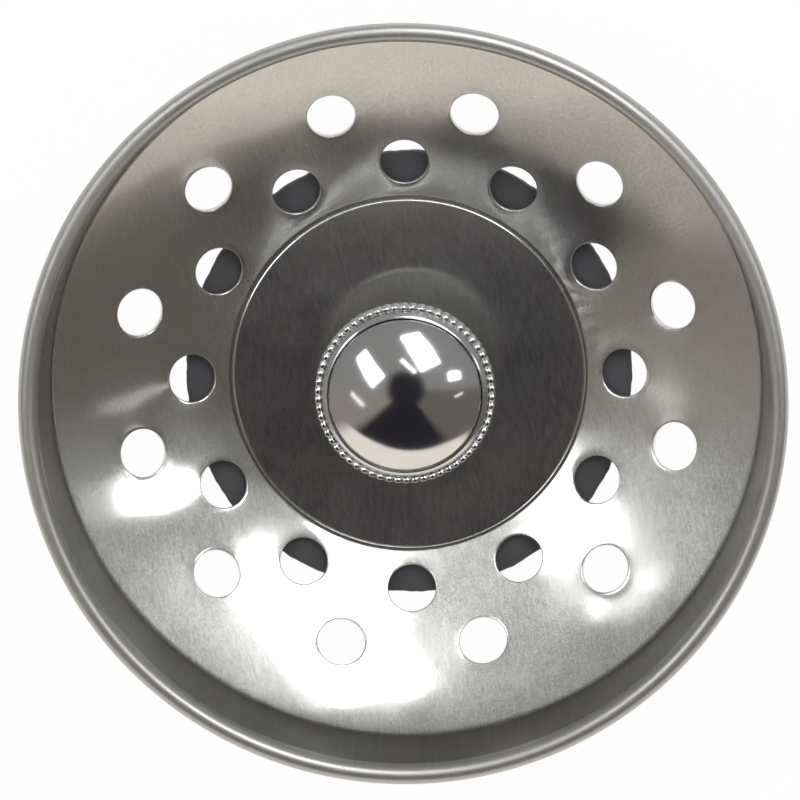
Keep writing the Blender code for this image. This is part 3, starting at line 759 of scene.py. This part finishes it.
def collar_grid(knob):
    """The collar's section turned about Z, with its outer part drawn in between round teeth.

    A tooth is half a circle across: its share of full depth at a place x from -1 to 1 across the
    tooth is the root of 1 minus x squared. A point of the section keeps that share of its way out
    from the valley's line.
    """
    foot, top = COLLAR_BOX[0].z, COLLAR_BOX[1].z
    cup = knob.dome_radius + knob.groove_gap
    cup_floor = DOME_BOX[0].z - GAP
    tooth_top = top - TOOTH_TOP
    valley = knob.ring_radius + VALLEY_GAP
    outline = refined(rounded([
        (POST_HOLE, cup_floor), (cup, cup_floor), (cup, top), (knob.ring_radius, top - RING_FALL),
        (knob.ring_radius, top - RING_FOOT), (valley, top - RING_FOOT), (valley, tooth_top),
        (knob.collar_radius, tooth_top), (knob.collar_radius, foot + COLLAR_CHAMFER),
        (knob.collar_radius - COLLAR_CHAMFER, foot), (POST_HOLE, foot),
    ], np.array([0.1, 0.2, 0.30, 0.24, 0.05, 0.02, 0.30, 0.34, 0.2, 0.15, 0.1]) * MM, steps=7), COLLAR_STEP)
    angle = np.linspace(0, TURN, knob.teeth * TOOTH_STEPS + 1)
    across = 2 * ((angle * knob.teeth / TURN) % 1) - 1
    fullness = np.sqrt(1 - (TOOTH_FULL * across) ** 2)
    radius, height = outline[:, :1], outline[:, 1:]
    outside = (radius > valley + WELD) * ease(foot, foot + TOOTH_RISE, height)
    valley_radius = np.maximum(knob.collar_radius - knob.tooth_depth, valley)
    low = tooth_top - TOOTH_FALL
    inward = np.maximum(radius - valley_radius, 0) * (fullness - 1)
    downward = np.maximum(height - low, 0) * (fullness - 1)
    return around(radius + inward * outside, angle, height + downward * outside)


def post_grid():
    """A rod with a screwed end above and below.

    A screwed end's radius is the plain end's less the thread's depth times a triangle wave of the
    height over the pitch, less the angle over a full turn. Both fade in at the end's two ends.
    """
    rod, end = POST_BOX[1].x, THREAD_RADIUS
    foot, top = POST_BOX[0].z, POST_BOX[1].z
    lower, upper = LOWER_SHOULDER, COLLAR_BOX[0].z - GAP
    step = THREAD_PITCH / THREAD_RINGS
    ends = np.arange(foot + POST_CHAMFER, lower - THREAD_START, step)
    heads = np.arange(upper + THREAD_START, top - POST_CHAMFER, step)
    outline = np.concatenate([
        [(0, foot), (end - POST_CHAMFER, foot), (end, foot + POST_CHAMFER)],
        np.stack([np.full(ends.shape, end), ends], axis=1)[1:],
        [(end, lower), (rod - SHOULDER_EDGE, lower), (rod, lower + SHOULDER_EDGE),
         (rod, upper - SHOULDER_EDGE), (rod - SHOULDER_EDGE, upper), (end, upper)],
        np.stack([np.full(heads.shape, end), heads], axis=1),
        [(end, top - POST_CHAMFER), (end - POST_CHAMFER, top), (0, top)],
    ])
    radius, height = outline[:, :1], outline[:, 1:]
    angle = np.linspace(0, TURN, POST_SIDES + 1)
    wave = np.abs(2 * ((height / THREAD_PITCH - angle / TURN) % 1) - 1)
    near, far = THREAD_FADE
    cut = ease(foot + POST_CHAMFER, foot + 2 * POST_CHAMFER, height)
    cut = cut * (1 - ease(lower - far, lower - near, height))
    head_cut = ease(upper + near, upper + far, height)
    head_cut = head_cut * (1 - ease(top - 2 * POST_CHAMFER, top - POST_CHAMFER, height))
    on_end = np.abs(radius - end) < WELD
    return around(radius - THREAD_DEPTH * wave * (cut + head_cut) * on_end, angle, height)


class STRAINER_OT_knob(bpy.types.Operator):
    """Make the knob's dome, its knurled collar and the centre post"""
    bl_idname = "strainer.knob"
    bl_label = "Knob and post"

    def execute(self, context):
        knob = context.scene.strainer_knob
        for name, grid, finish, slot, nodes in (
            ("dome_cap", dome_grid(knob), "bright_chrome_plate", "chrome_plate", ["knob_dome"]),
            ("collar_ring", collar_grid(knob), "satin_chrome_plate", "chrome_plate", ["knurled_collar"]),
            ("post_rod", post_grid(), "ground_stainless_rod", "polished_rod", ["centre_post"]),
        ):
            make_piece(name, [grid], finish, "spindle", nodes)
        return {"FINISHED"}


# Bush

TURNED_SIDES = 96           # of the bush and the washers
BUSH_BORE = 3.3 * MM
BUSH_SHANK = 4.8 * MM
BUSH_BEVEL = (1.3 * MM, 0.7 * MM)       # inwards and down, of the head's top edge
HEAD_CHAMFER = (0.3 * MM, 0.5 * MM)     # inwards and up, of its lower edge
RING_GROOVE = 5.0 * MM      # radius of the grip ring's groove
RING_GROOVE_HALF = 1.0 * MM


def bush_outline():
    """The bush's section: a round head with a bevelled top, a shank, and the ring's groove in its bore."""
    foot, top = BUSH_BOX[0].z, BUSH_BOX[1].z
    head = BUSH_BOX[1].x
    seat = PAN_BOX[0].z + bpy.context.scene.strainer_pan.sheet + GAP
    low = (seat + top) / 2 - RING_GROOVE_HALF
    high = (seat + top) / 2 + RING_GROOVE_HALF
    return rounded([
        (BUSH_BORE, top), (head - BUSH_BEVEL[0], top), (head, top - BUSH_BEVEL[1]),
        (head, seat + HEAD_CHAMFER[1]), (head - HEAD_CHAMFER[0], seat), (BUSH_SHANK, seat),
        (BUSH_SHANK, foot), (BUSH_BORE, foot), (BUSH_BORE, low), (RING_GROOVE, low), (RING_GROOVE, high),
        (BUSH_BORE, high),
    ], np.array([0.25, 0.3, 0.25, 0.1, 0.1, 0.05, 0.2, 0.2, 0.1, 0.05, 0.05, 0.1]) * MM)


class STRAINER_OT_bush(bpy.types.Operator):
    """Make the turned guide bush that the post slides in"""
    bl_idname = "strainer.bush"
    bl_label = "Guide bush"

    def execute(self, context):
        make_piece(
            "bush_turned", [turned(bush_outline(), TURNED_SIDES)], "nickel_plated_brass", "basket",
            ["guide_bush"])
        return {"FINISHED"}


# Stopper

STOPPER_SIDES = 576
STOPPER_STEP = 1.2 * MM
NUT_ROOM = 1.1 * MM         # round the bush's nut, when the stopper is drawn up
WASHER_ROOM = 1.7 * MM      # round the lower washer
HUB_CHAMFER = (0.7 * MM, 0.3 * MM)      # inwards and up, of the hub's foot
POCKET_CHAMFER = (0.6 * MM, 0.5 * MM)   # outwards and up, of the lower pocket's mouth
TRIM_INWARDS = 0.2          # taken off the wobble, so that it goes more in than out
TRIM_REACH = (2.2 * MM, 0.2 * MM)       # in from the edge, where the trimming's wobble starts and is full
TRIM_WAVES = (              # waves in a turn, share and phase
    (7, 0.30, 0.3), (17, 0.20, 1.9), (31, 0.17, 4.0), (53, 0.15, 2.6), (89, 0.10, 5.2), (131, 0.08, 0.9),
)


def stopper_grid(stopper):
    """The stopper's section turned about Z, its lip's edge moved in and out by the trimming.

    The wobble is a sum of sines of the angle, a little more in than out, and fades to nothing a
    little way in from the edge.
    """
    top = STOPPER_BOX[1].z
    lip_foot = top - stopper.lip
    web_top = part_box("upper_washer")[0].z - GAP
    web_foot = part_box("lower_washer")[1].z + GAP
    nut_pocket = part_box("bush_nut")[1].x + NUT_ROOM
    washer_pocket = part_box("lower_washer")[1].x + WASHER_ROOM
    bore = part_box("stopper_spacer")[1].x + GAP
    outline = refined(rounded([
        (nut_pocket, top), (stopper.radius, top), (stopper.radius, lip_foot),
        (stopper.hub_top, lip_foot - stopper.droop), (stopper.hub_foot, HUB_CHAMFER[1]),
        (stopper.hub_foot - HUB_CHAMFER[0], 0), (washer_pocket + POCKET_CHAMFER[0], 0),
        (washer_pocket, POCKET_CHAMFER[1]), (washer_pocket, web_foot), (bore, web_foot), (bore, web_top),
        (nut_pocket, web_top),
    ], np.array([0.4, 0.55, 0.55, 1.3, 0.3, 0.5, 0.5, 0.4, 0.5, 0.2, 0.2, 0.5]) * MM, steps=6), STOPPER_STEP)
    radius, height = outline[:, :1], outline[:, 1:]
    angle = np.linspace(0, TURN, STOPPER_SIDES + 1)
    wobble = sum(share * np.sin(count * angle + phase) for count, share, phase in TRIM_WAVES) - TRIM_INWARDS
    edge = ease(stopper.radius - TRIM_REACH[0], stopper.radius - TRIM_REACH[1], radius)
    return around(radius + stopper.trim_wobble * edge * wobble, angle, height)


class STRAINER_OT_stopper(bpy.types.Operator):
    """Make the moulded rubber stopper with its unevenly trimmed lip"""
    bl_idname = "strainer.stopper"
    bl_label = "Rubber stopper"

    def execute(self, context):
        make_piece(
            "stopper_moulding", [stopper_grid(context.scene.strainer_stopper)], "nitrile_rubber_moulded",
            "stopper", ["rubber_stopper"])
        return {"FINISHED"}


# Fasteners

HEX_SIDES = 6
HEX_STEPS = 24
CHAMFER_CIRCLE = 0.985      # of the chamfer, as a share of half the flats
CHAMFER_ANGLE = math.radians(30)
MOUTH_DEPTH = 0.25 * MM     # of the chamfer at a nut's bore
FACE_SHARES = (0.0, 0.03, 0.08, 0.3, 0.55, 0.75, 0.88, 0.96, 1.0)
MOUTH_SHARE = FACE_SHARES[2]
WASHER_SLOT = 0.7 * MM
WASHER_ROUND = 0.25         # of the lower washer's corners, as a share of its thickness
SPLIT_ROUND = 0.2           # of the split washer's


def nut_grid(box):
    """A hexagon nut: rings from the bore out to the hexagon, with both faces chamfered to a circle.

    At an angle a from the middle of a side the hexagon's radius is half the flats over the cosine
    of a. Where a face's radius passes the chamfer circle, it drops by the tangent of 30 degrees
    times the excess.
    """
    flats = box[1].x * math.cos(math.pi / HEX_SIDES)
    angle = np.linspace(0, TURN, HEX_SIDES * HEX_STEPS + 1)
    from_side = (angle % (TURN / HEX_SIDES)) - TURN / HEX_SIDES / 2
    hexagon = flats / np.cos(from_side)
    share = np.array(FACE_SHARES)[:, None]
    face = POST_HOLE + (hexagon - POST_HOLE) * share
    drop = np.maximum(face - flats * CHAMFER_CIRCLE, 0) * math.tan(CHAMFER_ANGLE)
    drop += MOUTH_DEPTH * (1 - share / MOUTH_SHARE).clip(0, 1)
    upper = around(face, angle, box[1].z - drop)
    lower = around(face, angle, box[0].z + drop)
    return np.concatenate([lower[:1], upper, lower[::-1]])


def washer_outline(box, round_share):
    """A stamped washer's section, its corners rounded by a share of its thickness."""
    foot, top, outer = box[0].z, box[1].z, box[1].x
    reach = round_share * (top - foot)
    return rounded([(POST_HOLE, top), (outer, top), (outer, foot), (POST_HOLE, foot)], [reach] * 4)


def split_washer_grid(box):
    """The split washer's rounded section carried round from one side of its slot to the other.

    Point (i, j) is section point i at angle j. At both ends the section shrinks to its middle
    point, which closes them.
    """
    section = washer_outline(box, SPLIT_ROUND)
    gap = WASHER_SLOT / (box[1].x + POST_HOLE)
    angle = np.linspace(gap, TURN - gap, TURNED_SIDES + 1)
    middle = section[:-1].mean(axis=0)
    spans = np.concatenate([[0.0], np.ones(len(angle)), [0.0]])
    shape = middle + (section - middle)[:, None, :] * spans[None, :, None]
    return around(shape[..., 0], np.concatenate([angle[:1], angle, angle[-1:]]), shape[..., 1])


class STRAINER_OT_fasteners(bpy.types.Operator):
    """Make the nut and the washers that show from below"""
    bl_idname = "strainer.fasteners"
    bl_label = "Fasteners"

    def execute(self, context):
        lower_washer = turned(washer_outline(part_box("lower_washer"), WASHER_ROUND), TURNED_SIDES)
        for name, grid, nodes in (
            ("nut_hex", nut_grid(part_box("end_nut")), ["end_nut"]),
            ("washer_lower", lower_washer, ["lower_washer"]),
            ("washer_split", split_washer_grid(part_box("lock_washer")), ["lock_washer"]),
        ):
            make_piece(name, [grid], "zinc_plated_steel", "spindle", nodes)
        return {"FINISHED"}


# Studio

SENSOR_WIDTH = 36.0
CAMERA_ASIDE = (-0.291 * MM, 0.700 * MM)    # of the picture's middle from the rim's
FLOOR_REACH = 3.0
WHITE_SHARE = 0.97          # of the floor's own white that eyes and mirrors see, over its lit surface
LAMP_HEIGHT = 0.60          # of the flat lamps over the knob
LAMP_COLOUR = linear("#fafdff")
FILL_HEIGHT = 1.20
FILL_SIZE = 1.30
FILL_LIGHT = 1.1            # brightness of the fill, where 1 is white
WALL_SHARE = 1.50           # of the wall's foot, its distance over its height
WALL_BEND = 0.13            # how much nearer the wall's foot comes for its distance to the side
WALL_LEAN = 0.18            # how much more of that it does on the -X side, and less on the +X side
WALL_SOFT = 0.07            # half the width of the wall's soft foot, in the same share
WALL_BEARINGS = (125.0, 132.0, 8.0)     # as in the room's regions
LEAST_RISE = 0.02           # of a direction, so that the wall's share stays finite
OVERHEAD = linear("#2b292e")            # a dark patch straight above
OVERHEAD_ANGLES = (20.0, 11.0)          # from straight up, where it starts and is full
ROOM_REGIONS = (            # colour, where it starts left and right of +Y, and its softness, in degrees
    (linear("#938d87"), 90.0, 200.0, 8.0),      # warm side on the left
    (linear("#6c6763"), 200.0, 94.0, 6.0),      # brown side on the right
    (linear("#29272d"), 131.0, 145.0, 6.0),     # dark card past the object
)
LAMPS = (                   # name, X, Y, length and width as shares of the height, turn, share of the light
    ("window_right", 0.27, 0.74, 0.82, 0.42, -66.0, 1.00),
    ("window_left", -0.71, 0.42, 0.80, 0.28, -50.0, 0.60),
    ("lamp_right", 0.97, 0.21, 0.34, 0.15, 5.0, 1.00),
    ("strip_right", 1.07, -0.18, 0.28, 0.05, 10.0, 0.14),
    ("strip_left", -0.95, -0.22, 0.42, 0.10, -31.0, 0.14),
    ("strip_near", 0.04, 0.37, 0.32, 0.06, -45.0, 0.25),
)


def place_lamp(name, place, size, brightness, turn=0.0, colour=(1, 1, 1)):
    """A flat lamp that faces down, turned by degrees about Z. A brightness of 1 is white."""
    lamp = bpy.data.lights.new(name, "AREA")
    lamp.shape = "RECTANGLE"
    lamp.size, lamp.size_y = size
    lamp.energy = brightness * math.pi * size[0] * size[1]
    lamp.color = colour
    holder = bpy.data.objects.new(name, lamp)
    bpy.context.scene.collection.objects.link(holder)
    holder.location = place
    holder.rotation_euler = (0, 0, math.radians(turn))
    holder.visible_camera = False
    return holder


def place_lamps(studio):
    """Soft lamps over the object, and a wide fill that lights dull surfaces and no mirror shows."""
    for name, along, across, length, width, turn, share in LAMPS:
        place = (LAMP_HEIGHT * along, LAMP_HEIGHT * across, DOME_BOX[1].z + LAMP_HEIGHT)
        size = (LAMP_HEIGHT * length, LAMP_HEIGHT * width)
        place_lamp(name, place, size, share * studio.window_light, turn, LAMP_COLOUR)
    fill = place_lamp("fill", (0, 0, FILL_HEIGHT), (FILL_SIZE, FILL_SIZE), FILL_LIGHT)
    fill.visible_glossy = False


def room_world(studio):
    """A plain room, brightest past the object's -Y side, where a warm pale wall starts.

    A direction's bearing is the arc tangent of its X over its Y: 0 towards +Y, a quarter turn
    towards +X and a half turn towards -Y. The wall starts where its Y, less one share of its X's
    size and plus another of its X, over its Z passes the wall's share. Each region is a smooth step
    in one of these or in its height.
    """
    world = bpy.data.worlds.new("room")
    bpy.context.scene.world = world
    world.use_nodes = True
    tree = world.node_tree
    tree.nodes.clear()
    way = add_node(tree, "ShaderNodeTexCoord")["Generated"]
    axes = add_node(tree, "ShaderNodeSeparateXYZ", [way])
    up = add_node(tree, "ShaderNodeMath", [axes[2], LEAST_RISE], operation="MAXIMUM")[0]
    aside = add_node(tree, "ShaderNodeMath", [axes[0]], operation="ABSOLUTE")[0]
    bent = add_node(tree, "ShaderNodeMath", [aside, -WALL_BEND, axes[1]], operation="MULTIPLY_ADD")[0]
    bent = add_node(tree, "ShaderNodeMath", [axes[0], WALL_LEAN, bent], operation="MULTIPLY_ADD")[0]
    ahead = add_node(tree, "ShaderNodeMath", [bent, up], operation="DIVIDE")[0]
    bearing = add_node(tree, "ShaderNodeMath", [axes[0], axes[1]], operation="ARCTAN2")[0]

    def past(left, right, soft):
        """1 where the bearing is past the right or the left angle, in degrees from +Y."""
        sides = [
            add_node(tree, "ShaderNodeMapRange", [
                bearing, math.radians(low), math.radians(high)], interpolation_type="SMOOTHSTEP")[0]
            for low, high in ((right - soft, right + soft), (soft - left, -soft - left))
        ]
        return add_node(tree, "ShaderNodeMath", sides, operation="ADD")[0]

    layers = [(tone, past(*bounds)) for tone, *bounds in ROOM_REGIONS]
    above = add_node(tree, "ShaderNodeMapRange", [
        axes[2], *(math.cos(math.radians(angle)) for angle in OVERHEAD_ANGLES)],
        interpolation_type="SMOOTHSTEP")[0]
    foot = add_node(tree, "ShaderNodeMapRange", [
        ahead, WALL_SOFT - WALL_SHARE, -WALL_SOFT - WALL_SHARE], interpolation_type="SMOOTHSTEP")[0]
    wall = add_node(tree, "ShaderNodeMath", [foot, past(*WALL_BEARINGS)], operation="MULTIPLY")[0]
    layers += [(OVERHEAD, above), (studio.wall, wall)]
    colour = (*studio.room, 1.0)
    for tone, mask in layers:
        colour = add_node(tree, "ShaderNodeMix", {
            0: mask, 6: colour, 7: (*tone, 1.0)}, data_type="RGBA")[2]
    glow = add_node(tree, "ShaderNodeBackground", {"Color": colour, "Strength": 1.0})
    add_node(tree, "ShaderNodeOutputWorld", {"Surface": glow[0]})


def floor_finish(studio):
    """Plain pale paper floor.

    Eyes and mirrors see its own white over its lit surface, which keeps a soft shadow.
    """
    tree = new_finish("paper_floor")
    rays = add_node(tree, "ShaderNodeLightPath")
    seen = rays["Is Camera Ray"]
    for kind in ("Is Glossy Ray", "Is Transmission Ray"):
        seen = add_node(tree, "ShaderNodeMath", [seen, rays[kind]], operation="MAXIMUM")[0]
    share = add_node(tree, "ShaderNodeMath", [seen, WHITE_SHARE], operation="MULTIPLY")
    lit = add_node(tree, "ShaderNodeBsdfDiffuse", {"Color": (*studio.floor, 1.0)})
    white = add_node(tree, "ShaderNodeEmission", {"Color": (1, 1, 1, 1), "Strength": 1.0})
    both = add_node(tree, "ShaderNodeMixShader", [share[0], lit[0], white[0]])
    add_node(tree, "ShaderNodeOutputMaterial", {"Surface": both[0]})


def place_floor(studio):
    """The floor, a square round the object's foot."""
    floor_finish(studio)
    data = bpy.data.meshes.new("floor")
    corners = [(FLOOR_REACH * x, FLOOR_REACH * y, 0) for x, y in ((-1, -1), (1, -1), (1, 1), (-1, 1))]
    data.from_pydata(corners, [], [(0, 1, 2, 3)])
    data.materials.append(finish_of("paper_floor"))
    floor = bpy.data.objects.new("floor", data)
    bpy.context.scene.collection.objects.link(floor)


def place_camera(studio):
    """The camera above the rim, tilted back towards +Y. Its axes are the tilt's rows, turned by the roll."""
    rim = Vector((0, 0, PAN_BOX[1].z - bpy.context.scene.strainer_pan.bead_radius))
    tilt = Matrix.Rotation(studio.tilt_side, 3, "Y") @ Matrix.Rotation(studio.tilt_back, 3, "X")
    roll = Matrix.Rotation(-studio.roll, 3, "Z")
    data = bpy.data.cameras.new("studio_camera")
    data.lens = studio.lens
    data.sensor_width = SENSOR_WIDTH
    camera = bpy.data.objects.new("studio_camera", data)
    bpy.context.scene.collection.objects.link(camera)
    place = rim + tilt.transposed() @ Vector((*CAMERA_ASIDE, studio.distance))
    camera.matrix_world = Matrix.Translation(place) @ (tilt.transposed() @ roll).to_4x4()
    bpy.context.scene.camera = camera


class STRAINER_OT_studio(bpy.types.Operator):
    """Set up the camera, the pale floor, the soft lamps and the plain room"""
    bl_idname = "strainer.studio"
    bl_label = "Studio"

    def execute(self, context):
        studio = context.scene.strainer_studio
        context.scene.view_settings.view_transform = "Standard"
        place_camera(studio)
        room_world(studio)
        place_lamps(studio)
        place_floor(studio)
        return {"FINISHED"}


class STRAINER_PT_panel(bpy.types.Panel):
    """Sizes, colours and steps of the strainer basket's looks"""
    bl_idname = "STRAINER_PT_panel"
    bl_label = "Strainer Basket"
    bl_space_type = "VIEW_3D"
    bl_region_type = "UI"
    bl_category = "Strainer"

    def draw(self, context):
        for group in GROUPS:
            box = self.layout.box()
            for name in getattr(context.scene, group).bl_rna.properties.keys():
                if name not in ("rna_type", "name"):
                    box.prop(getattr(context.scene, group), name)
        for step in STEPS:
            self.layout.operator(step.bl_idname)


STEPS = (
    STRAINER_OT_studio,
    STRAINER_OT_finishes,
    STRAINER_OT_pan,
    STRAINER_OT_knob,
    STRAINER_OT_bush,
    STRAINER_OT_stopper,
    STRAINER_OT_fasteners,
)


def register():
    """Register the classes and give the scene its settings."""
    for made in (*GROUPS.values(), *STEPS, STRAINER_PT_panel):
        bpy.utils.register_class(made)
    for name, group in GROUPS.items():
        setattr(bpy.types.Scene, name, PointerProperty(type=group))


def unregister():
    """Take the settings and the classes away again."""
    for name in GROUPS:
        delattr(bpy.types.Scene, name)
    for made in reversed((*GROUPS.values(), *STEPS, STRAINER_PT_panel)):
        bpy.utils.unregister_class(made)


def main():
    """Build the looks step by step."""
    register()
    bpy.ops.strainer.studio()
    bpy.ops.strainer.finishes()
    bpy.ops.strainer.pan()
    bpy.ops.strainer.knob()
    bpy.ops.strainer.bush()
    bpy.ops.strainer.stopper()
    bpy.ops.strainer.fasteners()


if __name__ == "__main__":
    main()
